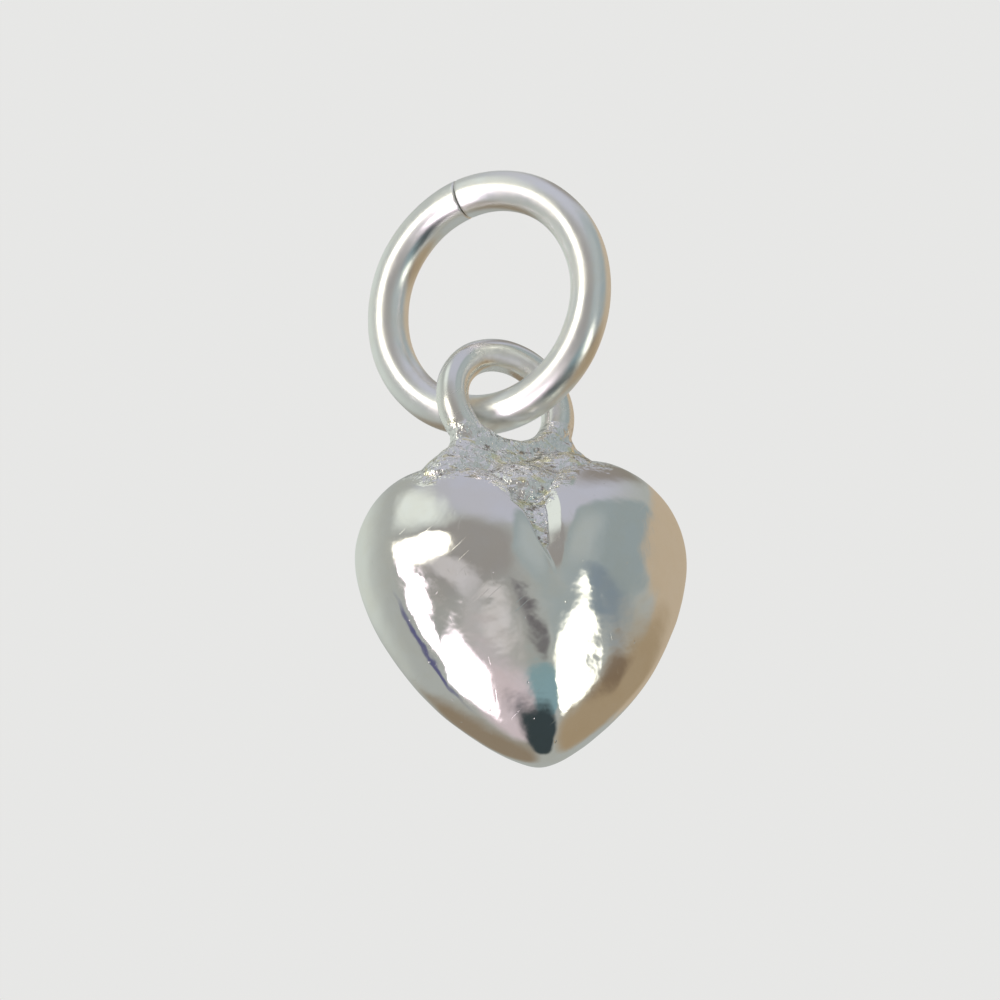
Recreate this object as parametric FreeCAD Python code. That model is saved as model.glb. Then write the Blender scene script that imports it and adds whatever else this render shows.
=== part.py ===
"""Puffy heart pendant: a fat cast heart, a round wire loop soldered into its cleft, and a plain jump ring.

Millimetres. The pendant hangs upright: +Z is up, the heart's front faces -Y and +X is to its right as it is seen.
The origin is the centre of the jump ring, which is where the pendant is hung.
"""
import FreeCAD, Part
from FreeCAD import Vector
from math import atan2, cos, degrees, exp, hypot, pi, radians, sin, sqrt
import os

os.makedirs("parts", exist_ok=True)

# Heart, seen from the front
heart_width = 7.4
heart_height = 6.96
lobe_spacing = 2.94
cleft_depth = 0.8
cleft_radius = 0.25
flank_radius = 6.0
tip_radius = 0.48

# Heart, front to back
heart_thickness = 4.55
belly_height = 4.4
crown_width = 5.25
crown_height = 4.65
keel_fade = 1.33
lobe_swell = 0.12
lobe_swell_reach = 1.5
crease_depth = 0.28
crease_half_width = 0.42
crease_end_height = 3.7
crease_fade = 1.5

# Jump ring
ring_outer_diameter = 6.0
ring_wire_diameter = 0.9
ring_turn = -40.3
ring_joint_gap = 0.04
ring_joint_angle = 97.0

# Wire loop soldered into the cleft
loop_wire_diameter = 0.72
loop_play = 0.94
loop_turn = 15.6
loop_lean = 9.3
solder_film = 0.08

# Where the jump ring lies in the loop, as shares of the play
ring_drop_share = 0.14
ring_side_share = 0.14

# Solder round the loop's foot
solder_top_share = 0.58
solder_collar = 0.03
solder_root = 0.4
solder_lap = 0.2
solder_flare_x = 0.8
solder_flare_height_x = 0.7
solder_flare_power_x = 2.0
solder_flare_y = 0.75
solder_flare_height_y = 1.4
solder_flare_power_y = 1.6
solder_dip = 0.12
solder_squareness = 3.0

# How finely the curved skins are drawn
tip_steps = 2
flank_steps = 4
shoulder_steps = 7
inner_lobe_steps = 4
cleft_steps = 2
dome_steps = 14
skin_sectors = 2
skin_bands = 4
solder_levels = 5
solder_stations = 16
slope_step = 1e-4

# Sizes that follow
half_thickness = heart_thickness / 2
lobe_x = lobe_spacing / 2
shoulder_radius = heart_width / 2 - lobe_x
shoulder_z = heart_height - shoulder_radius
inner_reach = (lobe_x ** 2 + cleft_depth ** 2) / (2 * cleft_depth)
inner_lobe_radius = inner_reach - cleft_radius
inner_lobe_z = heart_height - inner_lobe_radius
cleft_centre_z = heart_height - cleft_depth + cleft_radius

ring_wire_radius = ring_wire_diameter / 2
ring_radius = ring_outer_diameter / 2 - ring_wire_radius

loop_wire_radius = loop_wire_diameter / 2
loop_inner_radius = (ring_wire_diameter + loop_play) / 2
loop_radius = loop_inner_radius + loop_wire_radius
loop_outer_radius = loop_radius + loop_wire_radius

ring_drop = ring_drop_share * loop_play
ring_side = ring_side_share * loop_play

seat_reach = inner_lobe_radius + loop_outer_radius + solder_film
loop_height = inner_lobe_z + sqrt(seat_reach ** 2 - lobe_x ** 2)

loop_centre = Vector(ring_side, 0, ring_drop - ring_radius)
heart_tip = loop_centre - Vector(0, 0, loop_height)


def arc_points(centre_x, centre_z, radius, start, end, count):
    """Points along an arc from the start angle to the end angle, in radians."""
    angles = [start + (end - start) * k / count for k in range(count + 1)]
    return [(centre_x + radius * cos(a), centre_z + radius * sin(a)) for a in angles]


def heart_rim():
    """The heart's outline in its middle plane, from the tip round the right lobe and back by the left one."""
    tip_z = tip_radius
    span = hypot(lobe_x, shoulder_z - tip_z)
    to_shoulder = flank_radius - shoulder_radius
    to_tip = flank_radius - tip_radius
    along = (to_shoulder ** 2 - to_tip ** 2 + span ** 2) / (2 * span)
    aside = sqrt(to_shoulder ** 2 - along ** 2)
    unit_x, unit_z = -lobe_x / span, (tip_z - shoulder_z) / span
    flank_x = lobe_x + along * unit_x + aside * unit_z
    flank_z = shoulder_z + along * unit_z - aside * unit_x
    tip_angle = atan2(tip_z - flank_z, -flank_x)
    shoulder_angle = atan2(shoulder_z - flank_z, lobe_x - flank_x)
    cleft_angle = atan2(cleft_centre_z - inner_lobe_z, -lobe_x)
    right = arc_points(0, tip_z, tip_radius, -pi / 2, tip_angle, tip_steps)
    right += arc_points(flank_x, flank_z, flank_radius, tip_angle, shoulder_angle, flank_steps)[1:]
    right += arc_points(lobe_x, shoulder_z, shoulder_radius, shoulder_angle, pi / 2, shoulder_steps)[1:]
    right += arc_points(lobe_x, inner_lobe_z, inner_lobe_radius, pi / 2, cleft_angle, inner_lobe_steps)[1:]
    right += arc_points(0, cleft_centre_z, cleft_radius, cleft_angle - pi, -pi / 2, cleft_steps)[1:]
    left = [(-x, z) for x, z in reversed(right[1:-1])]
    return right + left


def dome_point(rim_point, latitude):
    """A point of the heart's skin: latitude 0 is the middle of the front, pi / 2 the rim, pi the back."""
    dx, dz = rim_point[0], rim_point[1] - belly_height
    bearing = atan2(dz, dx)
    oval = 1 / hypot(cos(bearing) * 2 / crown_width, sin(bearing) * 2 / crown_height)
    spread = sin(latitude)
    rim_share = spread ** keel_fade
    x = spread * ((1 - rim_share) * oval * cos(bearing) + rim_share * dx)
    z = belly_height + spread * ((1 - rim_share) * oval * sin(bearing) + rim_share * dz)
    swell_x = (abs(x) - lobe_x) / lobe_swell_reach
    swell_z = (z - shoulder_z) / lobe_swell_reach
    swell = lobe_swell * exp(-swell_x ** 2 - swell_z ** 2)
    climb = min(max((z - crease_end_height) / (cleft_centre_z - crease_end_height), 0), 1)
    crease = crease_depth * climb ** crease_fade * exp(-(x / crease_half_width) ** 2)
    depth = half_thickness * (1 + swell) - crease
    return Vector(x, -depth * cos(latitude), z)


def skin(rings, start, end, start_slopes, end_slopes, stations):
    """A closed smooth skin through rings of points set at the given stations, with a point at each end."""
    drawn = []
    for ring in rings + [start_slopes, end_slopes]:
        curve = Part.BSplineCurve()
        curve.interpolate(Points=ring, PeriodicFlag=True, Parameters=stations)
        drawn.append(curve)
    around_knots, around_mults = drawn[0].getKnots(), drawn[0].getMultiplicities()
    around_degree = drawn[0].Degree
    poles = [curve.getPoles() for curve in drawn]
    levels = [k / (len(rings) + 1) for k in range(len(rings) + 2)]
    columns = []
    for k in range(len(poles[0])):
        column = [start] + [poles[j][k] for j in range(len(rings))] + [end]
        curve = Part.BSplineCurve()
        curve.interpolate(Points=column, Parameters=levels, InitialTangent=poles[-2][k],
                          FinalTangent=poles[-1][k], Scale=False)
        columns.append(curve)
    surface = Part.BSplineSurface()
    surface.buildFromPolesMultsKnots([curve.getPoles() for curve in columns], around_mults,
                                     columns[0].getMultiplicities(), around_knots, columns[0].getKnots(),
                                     True, False, around_degree, columns[0].Degree)
    return surface


def puffy_heart():
    """The cast heart, one solid, with the creases of its cleft and the soft keel down to its tip."""
    rim = heart_rim()
    stations = [0.0]
    for a, b in zip(rim, rim[1:] + rim[:1]):
        stations.append(stations[-1] + hypot(b[0] - a[0], b[1] - a[1]))
    latitudes = [pi * k / dome_steps for k in range(1, dome_steps)]
    rings = [[dome_point(p, a) for p in rim] for a in latitudes]
    front = dome_point(rim[0], 0)
    back = dome_point(rim[0], pi)
    front_slopes = [(dome_point(p, slope_step) - front) * (pi / slope_step) for p in rim]
    back_slopes = [(back - dome_point(p, pi - slope_step)) * (pi / slope_step) for p in rim]
    whole = skin(rings, front, back, front_slopes, back_slopes, stations)
    around, across = whole.bounds()[1], whole.bounds()[3]
    patches = []
    for j in range(skin_sectors):
        for k in range(skin_bands):
            patch = whole.copy()
            patch.segment(around * j / skin_sectors, around * (j + 1) / skin_sectors,
                          across * k / skin_bands, across * (k + 1) / skin_bands)
            patches.append(patch.toShape())
    shell = Part.makeShell(patches)
    shell.sewShape()
    solid = Part.makeSolid(shell)
    if solid.Volume < 0:
        solid.reverse()
    solid.translate(heart_tip)
    return solid


def place_in_loop(shape):
    """Turns and leans a shape made about the loop's centre, as the loop was soldered."""
    shape.rotate(Vector(0, 0, 0), Vector(1, 0, 0), -loop_lean)
    shape.rotate(Vector(0, 0, 0), Vector(0, 0, 1), loop_turn)
    shape.translate(loop_centre)
    return shape


def wire_loop():
    """A closed ring of round wire that stands in the heart's cleft."""
    return place_in_loop(Part.makeTorus(loop_radius, loop_wire_radius, Vector(0, 0, 0), Vector(0, 1, 0)))


def flare(depth, height, reach, power):
    """How far the solder has spread at a depth below the level where it starts to."""
    return reach * min(max(depth / height, 0), 1) ** power


def solder_pool():
    """The solder before the heart and the loop are taken out of it: a flat column that flares at its foot.

    It is made about the loop's centre, facing the front, and follows the loop's legs as they lean.
    """
    top = -solder_top_share * loop_radius
    foot = heart_height - cleft_depth - solder_root - loop_height
    lobe_level = heart_height - loop_height
    leg_edge = sqrt(loop_outer_radius ** 2 - top ** 2)
    wires = []
    for j in range(solder_levels + 1):
        z = top + (foot - top) * j / solder_levels
        half_x = leg_edge + solder_collar + flare(lobe_level - solder_lap + solder_flare_height_x - z,
                                                  solder_flare_height_x, solder_flare_x, solder_flare_power_x)
        half_y = loop_wire_radius + solder_collar + flare(foot + solder_flare_height_y - z,
                                                          solder_flare_height_y, solder_flare_y,
                                                          solder_flare_power_y)
        forward = max(z, -loop_radius) * sin(radians(loop_lean))
        ring = []
        for k in range(solder_stations):
            c, s = cos(2 * pi * k / solder_stations), sin(2 * pi * k / solder_stations)
            reach = (abs(c) ** solder_squareness + abs(s) ** solder_squareness) ** (-1 / solder_squareness)
            ring.append(Vector(half_x * reach * c, forward + half_y * reach * s, z))
        curve = Part.BSplineCurve()
        curve.interpolate(Points=ring, PeriodicFlag=True)
        wires.append(Part.Wire(curve.toShape()))
    pool = Part.makeLoft(wires, True, False)
    pool.rotate(Vector(0, 0, 0), Vector(0, 0, 1), loop_turn)
    pool.translate(loop_centre)
    return pool


def solder_joint(heart, loop):
    """Solder that fills the cleft round the loop's foot and climbs its legs, open where the loop's hole is."""
    hole = Part.makeCylinder(loop_inner_radius + solder_dip, 2 * heart_thickness,
                             Vector(0, -heart_thickness, 0), Vector(0, 1, 0))
    return solder_pool().cut(place_in_loop(hole)).cut(heart).cut(loop)


def jump_ring():
    """A ring of round wire, cut through at its butt joint, turned across the loop that it passes through."""
    gap_angle = degrees(ring_joint_gap / ring_radius)
    section = Part.makeCircle(ring_wire_radius, Vector(ring_radius, 0, 0), Vector(0, 0, 1)).toNurbs()
    face = Part.Face(Part.Wire(section.Edges))
    ring = face.revolve(Vector(0, 0, 0), Vector(0, -1, 0), 360 - gap_angle)
    ring.rotate(Vector(0, 0, 0), Vector(0, -1, 0), ring_joint_angle + gap_angle / 2)
    ring.rotate(Vector(0, 0, 0), Vector(0, 0, 1), ring_turn)
    return ring


heart = puffy_heart()
loop = wire_loop()
nodes = {
    "puffy_heart": heart,
    "wire_loop": loop,
    "solder_joint": solder_joint(heart, loop),
    "jump_ring": jump_ring(),
}
for name, shape in nodes.items():
    shape.exportStep("parts/" + name + ".step")
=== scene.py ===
"""A polished silver puffy heart on a wire loop and a plain jump ring.

Places are in metres, in the CAD model's frame, where nothing else is said."""
import math

import bpy
from mathutils import Matrix, Vector
from mathutils.bvhtree import BVHTree


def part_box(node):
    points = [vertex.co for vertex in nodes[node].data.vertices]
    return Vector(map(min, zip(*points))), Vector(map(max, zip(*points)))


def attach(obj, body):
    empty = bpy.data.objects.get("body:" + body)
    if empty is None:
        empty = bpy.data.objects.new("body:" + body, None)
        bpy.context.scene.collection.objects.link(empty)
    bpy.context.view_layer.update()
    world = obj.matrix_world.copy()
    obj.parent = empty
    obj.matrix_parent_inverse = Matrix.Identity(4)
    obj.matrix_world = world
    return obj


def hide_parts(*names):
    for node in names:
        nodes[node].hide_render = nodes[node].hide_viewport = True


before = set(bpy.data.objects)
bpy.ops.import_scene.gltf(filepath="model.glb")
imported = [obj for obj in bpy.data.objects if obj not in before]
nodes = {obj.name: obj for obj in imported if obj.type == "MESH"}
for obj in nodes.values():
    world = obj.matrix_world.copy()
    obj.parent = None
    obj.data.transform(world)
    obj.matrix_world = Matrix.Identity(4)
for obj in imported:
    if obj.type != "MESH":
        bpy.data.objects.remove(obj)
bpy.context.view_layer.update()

MM = 0.001

# Sizes that the CAD model gives, in metres
RING_WIRE = 0.45 * MM
RING_RADIUS = 2.55 * MM
RING_TURN = math.radians(-40.3)
RING_JOINT = math.radians(97.0)
RING_GAP = 0.04 * MM
LOOP_WIRE = 0.36 * MM
LOOP_RADIUS = 1.28 * MM
LOOP_TURN = math.radians(15.6)
LOOP_LEAN = math.radians(9.3)

# What handwork leaves on each skin: the size and the height of its waves, in metres
HAMMER_MARKS = (1.1 * MM, 0.028 * MM)
POLISH_MARKS = (0.4 * MM, 0.009 * MM)
LOOP_BENDS = (0.7 * MM, 0.02 * MM)
RING_BENDS = (1.2 * MM, 0.025 * MM)
SOLDER_LUMPS = ((0.5 * MM, 0.08 * MM), (0.2 * MM, 0.045 * MM))

# How finely the solder is worked, and how near two points count as one, in metres
SAME_POINT = 1e-7
CORE_VOXEL = 0.05 * MM
MELT_VOXEL = 0.032 * MM


def centre_of(node):
    """The middle of a CAD node's box."""
    low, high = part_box(node)
    return (low + high) / 2


LOOP_CENTRE = centre_of("wire_loop")
HEART_LOW, HEART_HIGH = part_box("puffy_heart")
CENTRE_OVER_TIP = 4.4 * MM
HEART_CENTRE = Vector(((HEART_LOW.x + HEART_HIGH.x) / 2, 0, HEART_LOW.z + CENTRE_OVER_TIP))


# ---------------------------------------------------------------- helpers
def deselect():
    """Goes back to object mode with nothing selected."""
    if bpy.context.object and bpy.context.object.mode != "OBJECT":
        bpy.ops.object.mode_set(mode="OBJECT")
    bpy.ops.object.select_all(action="DESELECT")


def edit():
    """Goes into edit mode with the whole mesh selected."""
    bpy.ops.object.mode_set(mode="EDIT")
    bpy.ops.mesh.select_all(action="SELECT")


def edit_kept():
    """Goes into edit mode with the faces that are already selected."""
    bpy.ops.object.mode_set(mode="EDIT")


def done():
    bpy.ops.object.mode_set(mode="OBJECT")


def named(name):
    """Names the active piece and its mesh."""
    piece = bpy.context.object
    piece.name = piece.data.name = name
    return piece


def choose(piece):
    """Selects this piece alone and makes it the active one."""
    deselect()
    piece.select_set(True)
    bpy.context.view_layer.objects.active = piece


def settle(piece):
    """Puts the piece's place into its mesh, so that its object sits at the origin."""
    choose(piece)
    bpy.ops.object.transform_apply(location=True, rotation=True, scale=True)


def apply_modifier(piece, kind, **values):
    """Adds one modifier with these values and applies it."""
    choose(piece)
    modifier = piece.modifiers.new(kind, kind)
    for key, value in values.items():
        setattr(modifier, key, value)
    bpy.ops.object.modifier_apply(modifier=modifier.name)


def noise(name, size, depth=0):
    """Cloud noise of this size, for a Displace modifier."""
    texture = bpy.data.textures.new(name, "CLOUDS")
    texture.noise_scale = size
    texture.noise_depth = depth
    texture.noise_basis = "IMPROVED_PERLIN"
    return texture


def ripple(piece, name, size, height):
    """Moves the skin in and out by at most half the height, in waves of about this size."""
    apply_modifier(piece, "DISPLACE", texture=noise(name, size), texture_coords="LOCAL",
                   strength=height, mid_level=0.5)


def smooth_share(value, low, high):
    """0 below low, 1 above high and an even curve between."""
    share = min(max((value - low) / (high - low), 0), 1)
    return share * share * (3 - 2 * share)


def copy_of(source, name):
    """The piece's mesh again, as a bare piece of its own, with points that coincide merged."""
    copy = bpy.data.objects.new(name, source.data.copy())
    bpy.context.collection.objects.link(copy)
    copy.data.materials.clear()
    choose(copy)
    edit()
    bpy.ops.mesh.remove_doubles(threshold=SAME_POINT)
    done()
    return copy


def join(pieces, name):
    """Makes one piece of several."""
    deselect()
    for piece in pieces:
        piece.select_set(True)
    bpy.context.view_layer.objects.active = pieces[0]
    bpy.ops.object.join()
    return named(name)


# ---------------------------------------------------------------- solder core
def drop(x, y, z, half_sizes):
    """A rounded pool of solder, placed in mm from the heart's centre."""
    deselect()
    place = HEART_CENTRE + Vector((x, y, z)) * MM
    bpy.ops.mesh.primitive_uv_sphere_add(segments=48, ring_count=24, radius=MM, scale=half_sizes,
                                         location=place)
    pool = named("pool")
    settle(pool)
    return pool


# Each pool's place from the heart's centre and its half sizes, in mm:
# the cleft from lobe to lobe, then the front of each shoulder and the back of each
POOLS = [
    (0, 0, 1.44, (1.5, 1.75, 1.0)),
    (0.95, -0.45, 2.04, (0.9, 0.75, 0.58)),
    (-1.5, -0.62, 2.08, (0.75, 0.56, 0.42)),
    (1.45, 0.42, 2.14, (0.75, 0.55, 0.38)),
    (-1.05, 0.42, 2.12, (0.65, 0.50, 0.40)),
]


def solder_core():
    """The CAD solder with its pools, as one skin."""
    parts = [copy_of(nodes["solder_joint"], "core")] + [drop(*pool) for pool in POOLS]
    core = join(parts, "core")
    apply_modifier(core, "REMESH", mode="VOXEL", voxel_size=CORE_VOXEL)
    return core


CORE = solder_core()
CORE_SKIN = BVHTree.FromPolygons([point.co for point in CORE.data.vertices],
                                 [face.vertices for face in CORE.data.polygons])


def solder_distances(piece):
    """How far each point of the piece is from the skin of the solder, in mm."""
    return [CORE_SKIN.find_nearest(vertex.co)[3] / MM for vertex in piece.data.vertices]


def weigh(piece, name, low, high):
    """Weighs the piece's points: full up to low mm from the solder, nothing from high mm on."""
    weights = piece.vertex_groups.new(name=name)
    for index, distance in enumerate(solder_distances(piece)):
        share = 1 - smooth_share(distance, low, high)
        if share > 0:
            weights.add([index], share, "REPLACE")
    return name


def keep_solder_distance(piece):
    """Keeps the distances for the finishes, which fade out away from the solder.

    The heart's crease counts as solder, because its floor is as rough."""
    kept = piece.data.attributes.new("from_solder", "FLOAT", "POINT")
    found = solder_distances(piece)
    if piece.name == "heart_polished":
        found = [distance * (1 - crease(vertex.co)[1])
                 for distance, vertex in zip(found, piece.data.vertices)]
    kept.data.foreach_set("value", found)
    piece.vertex_groups.clear()


# ---------------------------------------------------------------- heart
# The open crease below the cleft, on the front only. Its two edges go down it, each point with
# its height and its sideways place, in mm from the heart's centre. The crease is gone at its
# bottom and has its full depth from CREASE_FULL up. CREASE_WALLS are how wide its walls lie.
CREASE_LEFT = ((1.06, -0.56), (0.77, -0.34), (0.08, -0.13), (-0.20, 0.0), (-0.42, 0.11), (-0.7, 0.2))
CREASE_RIGHT = ((0.84, 0.50), (-0.56, 0.34))
CREASE_DEPTH = 0.14 * MM
CREASE_WALLS = (0.07, 0.28)
CREASE_BOTTOM, CREASE_FULL, CREASE_TOP = -0.75, 0.2, 1.8

# The heart is smoothed all over in a few rounds, and more near the solder, up to CLEFT_REACH mm off
BALL_SIZE = 7 * MM
SKIN_ROUNDS = 4
CLEFT_ROUNDS = 12
CLEFT_REACH = 0.35


def along(line, height):
    """The line's sideways place at this height."""
    for (high, x_high), (low, x_low) in zip(line, line[1:]):
        if height >= low:
            break
    share = min(max((height - low) / (high - low), 0), 1)
    return x_low + (x_high - x_low) * share


def crease(place):
    """How deep the crease is here and how much of its floor this is, both from 0 to 1."""
    x, y, z = (place - HEART_CENTRE) / MM
    if y > 0 or not CREASE_BOTTOM < z < CREASE_TOP:
        return 0, 0
    left, right = along(CREASE_LEFT, z), along(CREASE_RIGHT, z)
    steep = min(max((x - left) / CREASE_WALLS[0], 0), 1)
    slope = min(max((right - x) / CREASE_WALLS[1], 0), 1)
    fade = smooth_share(z, CREASE_BOTTOM, CREASE_FULL)
    return min(steep, slope) * fade, steep * (slope >= 1) * fade


def cast_heart():
    """The puffed heart: a ball of even squares drawn in onto the CAD form, then polished by hand."""
    deselect()
    bpy.ops.mesh.primitive_cube_add(size=BALL_SIZE, location=HEART_CENTRE)
    heart = named("heart_polished")
    settle(heart)
    heart.data.transform(Matrix.Translation(-HEART_CENTRE))
    apply_modifier(heart, "SUBSURF", levels=5, render_levels=5)
    apply_modifier(heart, "CAST", cast_type="SPHERE", factor=1.0, use_x=True, use_y=True, use_z=True)
    heart.data.transform(Matrix.Translation(HEART_CENTRE))
    apply_modifier(heart, "SHRINKWRAP", target=nodes["puffy_heart"], wrap_method="PROJECT",
                   use_negative_direction=True, use_positive_direction=True)
    apply_modifier(heart, "SMOOTH", factor=0.5, iterations=SKIN_ROUNDS)
    cleft = weigh(heart, "cleft", 0.0, CLEFT_REACH)
    apply_modifier(heart, "SMOOTH", factor=0.5, iterations=CLEFT_ROUNDS, vertex_group=cleft)
    apply_modifier(heart, "SUBSURF", levels=2, render_levels=2)
    ripple(heart, "hammer_marks", *HAMMER_MARKS)
    ripple(heart, "polish_marks", *POLISH_MARKS)
    for vertex in heart.data.vertices:
        vertex.co.y += CREASE_DEPTH * crease(vertex.co)[0]
    bpy.ops.object.shade_smooth()
    return heart


# ---------------------------------------------------------------- rings
UPRIGHT = math.radians(90)
JOINT_ROUNDING = 0.025 * MM


def place_ring(ring, centre, turn, lean):
    """Stands a ring that lies flat upright, leans and turns it, and takes it to its centre."""
    ring.data.transform(Matrix.Translation(centre) @ Matrix.Rotation(turn, 4, "Z")
                        @ Matrix.Rotation(-lean, 4, "X") @ Matrix.Rotation(UPRIGHT, 4, "X"))


def wire_loop():
    """Round wire bent to a closed eye; its lower half is sunk in the solder."""
    deselect()
    bpy.ops.mesh.primitive_torus_add(major_segments=160, minor_segments=56,
                                     major_radius=LOOP_RADIUS, minor_radius=LOOP_WIRE)
    loop = named("loop_polished")
    place_ring(loop, LOOP_CENTRE, LOOP_TURN, LOOP_LEAN)
    ripple(loop, "loop_bends", *LOOP_BENDS)
    bpy.ops.object.shade_smooth()
    return loop


def jump_ring():
    """Round wire wound nearly all the way round, its two sawn ends meeting in a butt joint."""
    deselect()
    bpy.ops.mesh.primitive_circle_add(vertices=64, radius=RING_WIRE, location=(RING_RADIUS, 0, 0),
                                      rotation=(UPRIGHT, 0, 0))
    ring = named("jump_ring_polished")
    settle(ring)
    gap = RING_GAP / RING_RADIUS
    edit()
    bpy.ops.mesh.spin(steps=240, angle=math.tau - gap, center=(0, 0, 0), axis=(0, 0, 1))
    bpy.ops.mesh.select_all(action="SELECT")
    bpy.ops.mesh.fill_holes(sides=0)
    bpy.ops.mesh.select_all(action="SELECT")
    bpy.ops.mesh.normals_make_consistent(inside=False)
    bpy.ops.mesh.select_all(action="DESELECT")
    done()
    # Of all the faces only the two sawn ends have more than four corners
    for face in ring.data.polygons:
        face.select = len(face.vertices) > 4
    edit_kept()
    bpy.ops.mesh.bevel(offset=JOINT_ROUNDING, segments=3, affect="EDGES")
    done()
    ring.data.transform(Matrix.Rotation(RING_JOINT + gap / 2, 4, "Z"))
    place_ring(ring, Vector((0, 0, 0)), RING_TURN, 0)
    ripple(ring, "ring_bends", *RING_BENDS)
    bpy.ops.object.shade_smooth()
    return ring


# ---------------------------------------------------------------- solder
# How far from the loop's centre the melt may reach each way, in mm
MELT_REACH = [
    ((0, 0, 1), -0.25), ((0, 0, -1), 2.95),
    ((1, 0, 0), 2.9), ((-1, 0, 0), 2.7),
    ((0, 1, 0), 1.9), ((0, -1, 0), 1.95),
]
MELT_ROUNDS = 90
# The solder's edge sinks into the silver by THINNED and its middle stands up by PROUD, in metres.
# The ranges are distances from the core, in mm.
THINNED = 0.02 * MM
PROUD = 0.014 * MM
FEATHER_RANGE = (0.05, 0.8)
MELTED_RANGE = (0.0, 0.3)


def keep_side(piece, point, outward):
    """Cuts the piece at a plane, drops what lies outward of it and closes the cut."""
    choose(piece)
    edit()
    bpy.ops.mesh.bisect(plane_co=point, plane_no=outward, use_fill=True, clear_outer=True,
                        clear_inner=False)
    done()


def solder(heart, loop):
    """Solder that has run between loop and heart: thinned out onto both, with a lumpy skin."""
    parts = [CORE, copy_of(heart, "melt"), copy_of(loop, "melt")]
    for part in parts:
        for outward, far in MELT_REACH:
            axis = Vector(outward)
            keep_side(part, LOOP_CENTRE + axis * far * MM, axis)
    piece = join(parts, "solder_fillet")
    apply_modifier(piece, "REMESH", mode="VOXEL", voxel_size=MELT_VOXEL)
    apply_modifier(piece, "SMOOTH", factor=0.5, iterations=MELT_ROUNDS)
    feather = weigh(piece, "feather", *FEATHER_RANGE)
    apply_modifier(piece, "DISPLACE", strength=-THINNED, mid_level=0, vertex_group=feather,
                   invert_vertex_group=True)
    apply_modifier(piece, "DISPLACE", strength=PROUD, mid_level=0, vertex_group=feather)
    melted = weigh(piece, "melted", *MELTED_RANGE)
    for size, height in SOLDER_LUMPS:
        apply_modifier(piece, "DISPLACE", texture=noise("lumps", size, 1), texture_coords="LOCAL",
                       strength=height, mid_level=0.5, vertex_group=melted)
    bpy.ops.object.shade_smooth()
    return piece


# ---------------------------------------------------------------- materials
BLOOM_TINT = (0.97, 0.94, 0.88)
SOLDER_WHITE = (0.95, 0.94, 0.92)
SOLDER_YELLOW = (0.93, 0.88, 0.66)
GRIME_BROWN = (0.30, 0.24, 0.20)
SOLDER_ROUGHNESS = 0.2
# Two runs of scratches: how their lines are turned and how many there are to the millimetre
SCRATCH_RUNS = [((0.2, 0.9, 0), 3.1), ((0.4, -0.35, 0.2), 2.6)]


def group(name, inputs, outputs):
    """An empty shader node group with these sockets, and its input and output nodes."""
    tree = bpy.data.node_groups.new(name, "ShaderNodeTree")
    for label, kind, value in inputs:
        socket = tree.interface.new_socket(name=label, in_out="INPUT",
                                           socket_type="NodeSocket" + kind)
        socket.default_value = value
    for label, kind in outputs:
        tree.interface.new_socket(name=label, in_out="OUTPUT", socket_type="NodeSocket" + kind)
    return tree, tree.nodes.new("NodeGroupInput"), tree.nodes.new("NodeGroupOutput")


def put(tree, kind, links=(), **values):
    """Adds a node and feeds its sockets with links.

    Values named i0, i1 and so on go to its input sockets, the others to its properties."""
    node = tree.nodes.new("ShaderNode" + kind)
    for key, value in values.items():
        if key[0] == "i" and key[1:].isdigit():
            node.inputs[int(key[1:])].default_value = value
        else:
            setattr(node, key, value)
    for socket, source in links:
        tree.links.new(source, node.inputs[socket])
    return node


def maths(tree, operation, *terms):
    """A Math node; each term is a number or a socket."""
    node = tree.nodes.new("ShaderNodeMath")
    node.operation = operation
    for k, term in enumerate(terms):
        if isinstance(term, (int, float)):
            node.inputs[k].default_value = term
        else:
            tree.links.new(term, node.inputs[k])
    return node.outputs[0]


def cloud(tree, where, per_mm, detail=2.0, rough=0.5, stretch=None, turn=(0, 0, 0)):
    """Soft noise with this many waves to the millimetre, turned and drawn out by stretch."""
    if stretch:
        turned = put(tree, "Mapping", [(0, where)], vector_type="TEXTURE", i2=turn, i3=stretch)
        where = turned.outputs[0]
    node = put(tree, "TexNoise", [("Vector", where)])
    for label, value in (("Scale", per_mm), ("Detail", detail), ("Roughness", rough)):
        node.inputs[label].default_value = value
    return node.outputs[0]


def ramp(tree, value, low, high, start=0.0, end=1.0):
    """Turns low..high into start..end along an even curve."""
    node = put(tree, "MapRange", [("Value", value)], interpolation_type="SMOOTHSTEP")
    for label, number in (("From Min", low), ("From Max", high),
                          ("To Min", start), ("To Max", end)):
        if isinstance(number, (int, float)):
            node.inputs[label].default_value = number
        else:
            tree.links.new(number, node.inputs[label])
    return node.outputs[0]


def mix(tree, share, first, second):
    """Mixes two colours."""
    node = tree.nodes.new("ShaderNodeMixRGB")
    for socket, term in ((0, share), (1, first), (2, second)):
        if isinstance(term, tuple):
            node.inputs[socket].default_value = (*term, 1)
        else:
            tree.links.new(term, node.inputs[socket])
    return node.outputs[0]


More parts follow.
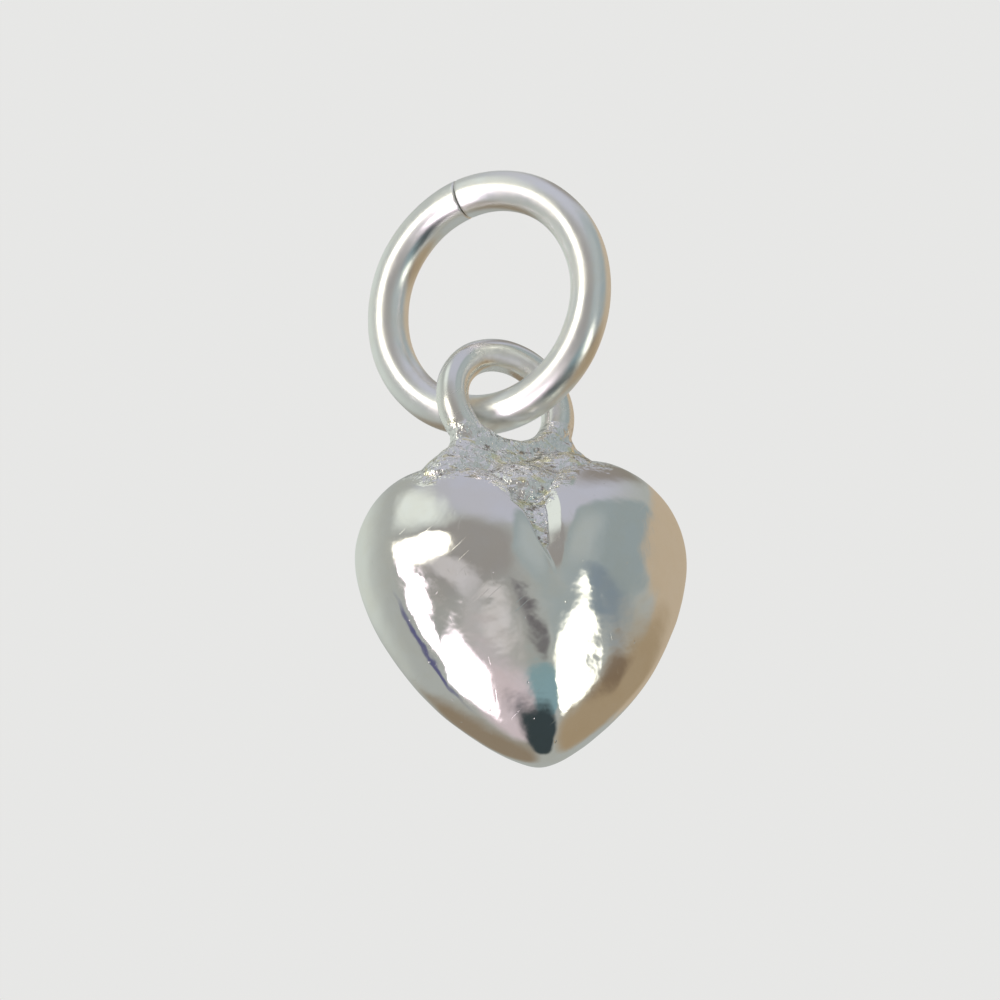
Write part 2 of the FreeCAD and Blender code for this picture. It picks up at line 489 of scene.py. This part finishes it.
def hand_polish():
    """The marks of buffing by hand: straight scratches, a cloudy bloom and scattered pits.

    Where is in mm."""
    tree, given, made = group(
        "hand_polish",
        [("Where", "Vector", (0, 0, 0)), ("Depth", "Float", 0.001)],
        [("Height", "Float"), ("Bloom", "Float"), ("Scratches", "Float")])
    where = given.outputs["Where"]
    scratches = 0.0
    for turn, across in SCRATCH_RUNS:
        # A scratch runs where the drawn-out noise crosses its middle, and breaks off in patches
        waves = cloud(tree, where, across, detail=0.0, stretch=(1, 5, 16), turn=turn)
        off_line = maths(tree, "ABSOLUTE", maths(tree, "SUBTRACT", waves, 0.5))
        line = ramp(tree, off_line, 0.0, 0.008, start=1.0, end=0.0)
        patches = cloud(tree, where, across * 0.7, detail=1.0, turn=turn, stretch=(1, 1, 1))
        broken = maths(tree, "MULTIPLY", line, ramp(tree, patches, 0.58, 0.64))
        scratches = maths(tree, "MAXIMUM", broken, scratches)
    bloom = ramp(tree, cloud(tree, where, 1.3, detail=3.0, rough=0.6), 0.35, 0.7)
    pits = ramp(tree, cloud(tree, where, 8.0, detail=1.0), 0.77, 0.84)
    orange_peel = maths(tree, "MULTIPLY", cloud(tree, where, 5.0, detail=1.0), 1.8)
    dug = maths(tree, "ADD", maths(tree, "MULTIPLY", scratches, 0.4),
                maths(tree, "MULTIPLY", pits, 2.0))
    skin = maths(tree, "SUBTRACT", orange_peel, dug)
    height = maths(tree, "MULTIPLY", skin, given.outputs["Depth"])
    for label, value in (("Height", height), ("Bloom", bloom), ("Scratches", scratches)):
        tree.links.new(value, made.inputs[label])
    return tree


def solder_wash():
    """Where solder has run over the silver and how rough it lies.

    Where, Distance, which is the distance from the solder, and Reach are in mm."""
    tree, given, made = group(
        "solder_wash",
        [("Where", "Vector", (0, 0, 0)), ("Distance", "Float", 0.0), ("Reach", "Float", 0.3)],
        [("Wash", "Float"), ("Height", "Float"), ("Flecks", "Float"), ("Grime", "Float")])
    where, reach = given.outputs["Where"], given.outputs["Reach"]
    wander = maths(tree, "MULTIPLY", cloud(tree, where, 2.2, detail=3.0), 0.5)
    ragged = maths(tree, "ADD", wander, -0.25)
    distance = maths(tree, "ADD", given.outputs["Distance"], ragged)
    edge = 0.16
    wash = ramp(tree, distance, maths(tree, "SUBTRACT", reach, edge),
                maths(tree, "ADD", reach, edge), start=1.0, end=0.0)
    lumps = maths(tree, "MULTIPLY", cloud(tree, where, 4.0, detail=2.0), 0.10)
    grains = ramp(tree, cloud(tree, where, 12.0, detail=1.0, rough=0.65), 0.42, 0.6)
    grains = maths(tree, "MULTIPLY", grains, 0.005)
    pores = ramp(tree, cloud(tree, where, 6.0, detail=1.0), 0.62, 0.72)
    pores = maths(tree, "MULTIPLY", pores, 0.02)
    height = maths(tree, "SUBTRACT", maths(tree, "ADD", lumps, grains), pores)
    flecks = cloud(tree, where, 3.6, detail=2.0, rough=0.6, stretch=(2, 1, 1), turn=(0, 0.4, 0))
    grime = cloud(tree, where, 4.3, detail=2.0, rough=0.65, stretch=(1, 1, 1), turn=(1, 0, 0))
    tree.links.new(wash, made.inputs["Wash"])
    for label, value in (("Height", height), ("Flecks", ramp(tree, flecks, 0.55, 0.63)),
                         ("Grime", ramp(tree, grime, 0.60, 0.72))):
        tree.links.new(maths(tree, "MULTIPLY", value, wash), made.inputs[label])
    return tree


HAND_POLISH = hand_polish()
SOLDER_WASH = solder_wash()


def silver(name, colour, gloss, matt, depth, reach):
    """Silver polished by hand; gloss and matt are its two roughnesses, depth its marks' in mm.

    Solder lies over it as far as reach, in mm, or nowhere where reach is None."""
    material = bpy.data.materials.new(name)
    material.use_nodes = True
    tree = material.node_tree
    shader = tree.nodes["Principled BSDF"]
    shader.inputs["Metallic"].default_value = 1
    where = put(tree, "Mapping", [(0, tree.nodes.new("ShaderNodeTexCoord").outputs["Object"])],
                i3=(1 / MM, 1 / MM, 1 / MM)).outputs[0]
    polish = put(tree, "Group", [("Where", where)], node_tree=HAND_POLISH)
    polish.inputs["Depth"].default_value = depth
    shade = mix(tree, maths(tree, "MULTIPLY", polish.outputs["Bloom"], 0.5), colour,
                tuple(part * tint for part, tint in zip(colour, BLOOM_TINT)))
    rough = maths(tree, "ADD", ramp(tree, polish.outputs["Bloom"], 0, 1, gloss, matt),
                  maths(tree, "MULTIPLY", polish.outputs["Scratches"], 0.1))
    height = polish.outputs["Height"]
    if reach is not None:
        distance = put(tree, "Attribute", attribute_name="from_solder").outputs["Fac"]
        wash = put(tree, "Group", [("Where", where), ("Distance", distance)],
                   node_tree=SOLDER_WASH)
        wash.inputs["Reach"].default_value = reach
        shade = mix(tree, wash.outputs["Wash"], shade, SOLDER_WHITE)
        shade = mix(tree, wash.outputs["Flecks"], shade, SOLDER_YELLOW)
        shade = mix(tree, maths(tree, "MULTIPLY", wash.outputs["Grime"], 0.8), shade, GRIME_BROWN)
        rough = ramp(tree, wash.outputs["Wash"], 0, 1, rough, SOLDER_ROUGHNESS)
        height = maths(tree, "ADD", height, wash.outputs["Height"])
    tree.links.new(shade, shader.inputs["Base Color"])
    tree.links.new(rough, shader.inputs["Roughness"])
    bump = put(tree, "Bump", [("Height", height)])
    bump.inputs["Distance"].default_value = MM
    tree.links.new(bump.outputs[0], shader.inputs["Normal"])
    return material


def dress(piece, material, body, node):
    """Gives the piece its finish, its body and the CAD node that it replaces."""
    keep_solder_distance(piece)
    piece.data.materials.clear()
    piece.data.materials.append(material)
    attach(piece, body)
    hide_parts(node)


heart = cast_heart()
loop = wire_loop()
joint = solder(heart, loop)
cast_silver = silver("cast_silver_polished", (0.93, 0.92, 0.90), gloss=0.05, matt=0.11,
                     depth=0.0012, reach=0.22)
loop_silver = silver("wire_silver_loop", (0.94, 0.94, 0.92), gloss=0.16, matt=0.30,
                     depth=0.0015, reach=0.2)
wire_silver = silver("wire_silver_ring", (0.98, 0.985, 0.975), gloss=0.28, matt=0.38,
                     depth=0.0015, reach=None)
solder_silver = silver("solder_silver_run", (0.93, 0.92, 0.90), gloss=0.07, matt=0.13,
                       depth=0.0012, reach=0.22)
dress(heart, cast_silver, "charm", "puffy_heart")
dress(loop, loop_silver, "charm", "wire_loop")
dress(joint, solder_silver, "charm", "solder_joint")
dress(jump_ring(), wire_silver, "hung_ring", "jump_ring")


# ---------------------------------------------------------------- studio
# The camera's side, and the directions to the eye, across the picture and up it
AZIMUTH, ELEVATION, ROLL = (math.radians(turn) for turn in (-13, -18, 5.8))
TO_EYE = Vector((math.sin(AZIMUTH) * math.cos(ELEVATION),
                 -math.cos(AZIMUTH) * math.cos(ELEVATION), math.sin(ELEVATION)))
LEVEL = Vector((math.cos(AZIMUTH), math.sin(AZIMUTH), 0))
ACROSS = math.cos(ROLL) * LEVEL - math.sin(ROLL) * TO_EYE.cross(LEVEL)
UPWARD = math.sin(ROLL) * LEVEL + math.cos(ROLL) * TO_EYE.cross(LEVEL)
PALE = (0.80, 0.80, 0.79)
ROOM_GREY = (0.40, 0.42, 0.40)
PICTURE_SIZE = 1000
PIXELS_PER_METRE = 45600
LOOP_IN_PICTURE = (505.2, 406.3)
EYE_DISTANCE = 0.2
CLIP_START = 0.001
FLOOR_SIZE = 6
FLOOR_HEIGHT = -0.09
# How square the cards are: 2 is an oval, more comes nearer to a rectangle
SQUARENESS = 3.0


def soft_card():
    """One soft-edged card of light on the map of all directions round the pendant."""
    tree, given, made = group("soft_card", [
        ("Map", "Vector", (0, 0, 0)), ("Below", "Color", (0, 0, 0, 1)),
        ("Card", "Color", (1, 1, 1, 1)),
        ("Place", "Vector", (0, 0, 0)), ("Half Size", "Vector", (1, 1, 1)), ("Turn", "Float", 0.0),
        ("Softness", "Float", 0.2), ("Cover", "Float", 1.0)], [("Color", "Color")])
    away = put(tree, "VectorMath", [(0, given.outputs["Map"]), (1, given.outputs["Place"])],
               operation="SUBTRACT")
    turned = put(tree, "VectorRotate", [(0, away.outputs[0]), (3, given.outputs["Turn"])],
                 rotation_type="Z_AXIS")
    share = put(tree, "VectorMath", [(0, turned.outputs[0]), (1, given.outputs["Half Size"])],
                operation="DIVIDE")
    parts = put(tree, "SeparateXYZ", [(0, share.outputs[0])])
    reach = [maths(tree, "POWER", maths(tree, "ABSOLUTE", parts.outputs[k]), SQUARENESS)
             for k in (0, 1)]
    far = maths(tree, "POWER", maths(tree, "ADD", *reach), 1 / SQUARENESS)
    low = maths(tree, "SUBTRACT", 1.0, given.outputs["Softness"])
    high = maths(tree, "ADD", 1.0, given.outputs["Softness"])
    edge = ramp(tree, far, low, high, start=1.0, end=0.0)
    cover = maths(tree, "MULTIPLY", edge, given.outputs["Cover"])
    covered = mix(tree, cover, given.outputs["Below"], given.outputs["Card"])
    tree.links.new(covered, made.inputs[0])
    return tree


# What stands round the pendant, on a map of directions: the middle is the eye, 1 is square to
# it and 2 straight behind. Place, half size, turn in degrees, softness, colour, cover.
CARDS = [
    ("left_sky", (-1.60, 0.15), (0.55, 0.95), 0, 0.5, (0.66, 0.71, 0.66), 0.8),
    ("top_lilac", (0.15, 1.12), (0.66, 0.46), 0, 0.35, (0.48, 0.49, 0.56), 1.0),
    ("top_brown", (0.66, 1.44), (0.42, 0.22), 0, 0.5, (0.22, 0.19, 0.15), 0.8),
    ("centre_grey", (-0.22, 0.28), (0.44, 0.40), 0, 0.35, (0.30, 0.29, 0.28), 1.0),
    ("right_grey", (0.66, 0.44), (0.46, 0.54), -6, 0.10, (0.29, 0.34, 0.35), 1.0),
    ("right_light", (0.46, 0.42), (0.20, 0.40), -10, 0.6, (0.42, 0.46, 0.46), 0.8),
    ("right_blue", (0.68, -0.05), (0.18, 0.07), -20, 0.7, (0.17, 0.22, 0.28), 0.6),
    ("tan_side", (1.55, 0.10), (0.48, 1.30), 0, 0.12, (0.50, 0.41, 0.30), 1.0),
    ("tan_low", (0.98, -0.55), (0.42, 0.38), 25, 0.3, (0.36, 0.28, 0.18), 1.0),
    ("brown_spot", (0.84, -0.29), (0.12, 0.09), -30, 0.6, (0.17, 0.12, 0.08), 0.8),
    ("low_left", (-0.60, -1.10), (0.55, 0.35), 20, 0.4, (0.26, 0.21, 0.15), 1.0),
    ("window_top", (-0.59, 0.80), (0.16, 0.24), 0, 0.5, (0.80, 0.85, 0.80), 0.9),
    ("window_high", (-0.58, 0.31), (0.15, 0.13), 10, 0.25, (3.4, 3.3, 2.9), 1.0),
    ("pale_streak", (-0.37, 0.07), (0.24, 0.06), -39, 0.6, (0.58, 0.56, 0.57), 0.9),
    ("short_streak", (-0.06, -0.10), (0.09, 0.03), 10, 0.6, (0.62, 0.60, 0.60), 0.9),
    ("middle_dark", (0.19, -0.06), (0.08, 0.035), 0, 0.6, (0.12, 0.11, 0.12), 0.9),
    ("pink_low", (-0.14, -0.42), (0.26, 0.26), 0, 0.3, (0.60, 0.52, 0.55), 1.0),
    ("window_low", (-0.54, -0.12), (0.055, 0.30), 25, 0.25, (3.6, 3.2, 3.5), 1.0),
    ("window_pane", (-0.34, -0.33), (0.12, 0.18), -15, 0.25, (3.6, 3.2, 3.5), 1.0),
    ("window_edge", (-0.62, -0.33), (0.03, 0.25), 26, 0.5, (0.08, 0.08, 0.20), 0.9),
    ("teal", (0.26, -0.22), (0.22, 0.10), 0, 0.15, (0.22, 0.34, 0.37), 1.0),
    ("eye_dark", (0.17, -0.60), (0.33, 0.34), 0, 0.14, (0.04, 0.055, 0.06), 1.0),
    ("strip", (0.54, -0.175), (0.16, 0.085), -50, 0.2, (2.4, 2.4, 2.1), 1.0),
]


def surroundings():
    """The studio's light: the silver mirrors the cards, and around them all is plain and pale."""
    world = bpy.data.worlds.new("studio")
    bpy.context.scene.world = world
    world.use_nodes = True
    tree = world.node_tree
    light = tree.nodes["Background"]
    towards = tree.nodes.new("ShaderNodeTexCoord").outputs["Generated"]
    share = []
    for axis in (ACROSS, UPWARD, TO_EYE):
        product = put(tree, "VectorMath", [(0, towards)], operation="DOT_PRODUCT", i1=axis)
        share.append(product.outputs["Value"])
    angle = maths(tree, "ARCCOSINE", share[2])
    stretch = maths(tree, "DIVIDE", maths(tree, "DIVIDE", angle, math.pi / 2),
                    maths(tree, "MAXIMUM", maths(tree, "SINE", angle), 0.001))
    place = put(tree, "CombineXYZ", [(0, maths(tree, "MULTIPLY", share[0], stretch)),
                                     (1, maths(tree, "MULTIPLY", share[1], stretch))]).outputs[0]
    card_tree = soft_card()
    colour = put(tree, "RGB")
    colour.outputs[0].default_value = (*ROOM_GREY, 1)
    colour = colour.outputs[0]
    for name, spot, size, turn, softness, shade, cover in CARDS:
        card = put(tree, "Group", node_tree=card_tree, label=name)
        card.inputs["Card"].default_value = (*shade, 1)
        card.inputs["Place"].default_value = (*spot, 0)
        card.inputs["Half Size"].default_value = (*size, 1)
        card.inputs["Turn"].default_value = math.radians(-turn)
        card.inputs["Softness"].default_value = softness
        card.inputs["Cover"].default_value = cover
        tree.links.new(place, card.inputs["Map"])
        tree.links.new(colour, card.inputs["Below"])
        colour = card.outputs[0]
    tree.links.new(colour, light.inputs["Color"])
    path = tree.nodes.new("ShaderNodeLightPath")
    seen = mix(tree, path.outputs["Is Camera Ray"], (1, 1, 1), PALE)
    plain = put(tree, "Background", [(0, seen)])
    both = put(tree, "MixShader", [(0, path.outputs["Is Glossy Ray"]), (1, plain.outputs[0]),
                                   (2, light.outputs[0])])
    tree.links.new(both.outputs[0], tree.nodes["World Output"].inputs["Surface"])


def floor():
    """A wide sheet of pale, dull paper far below, which the silver doesn't mirror."""
    deselect()
    bpy.ops.mesh.primitive_plane_add(size=FLOOR_SIZE, location=(0, 0, FLOOR_HEIGHT))
    paper = named("studio_floor")
    pale = bpy.data.materials.new("pale_paper")
    pale.use_nodes = True
    shader = pale.node_tree.nodes["Principled BSDF"]
    shader.inputs["Base Color"].default_value = (*PALE, 1)
    shader.inputs["Roughness"].default_value = 1
    shader.inputs["Specular IOR Level"].default_value = 0
    paper.data.materials.append(pale)
    paper.visible_glossy = False


def camera():
    """Looks at the pendant as the photograph does: a little from left and below, and rolled."""
    middle = PICTURE_SIZE / 2
    right, down = LOOP_IN_PICTURE
    aim = (LOOP_CENTRE + ACROSS * ((middle - right) / PIXELS_PER_METRE)
           + UPWARD * ((down - middle) / PIXELS_PER_METRE))
    data = bpy.data.cameras.new("photograph")
    eye = bpy.data.objects.new("photograph", data)
    bpy.context.collection.objects.link(eye)
    placed = Matrix((ACROSS, UPWARD, TO_EYE)).transposed().to_4x4()
    placed.translation = aim + TO_EYE * EYE_DISTANCE
    eye.matrix_world = placed
    data.lens = data.sensor_width * EYE_DISTANCE / (PICTURE_SIZE / PIXELS_PER_METRE)
    data.clip_start = CLIP_START
    bpy.context.scene.camera = eye


floor()
surroundings()
camera()
bpy.context.scene.view_settings.view_transform = "Standard"
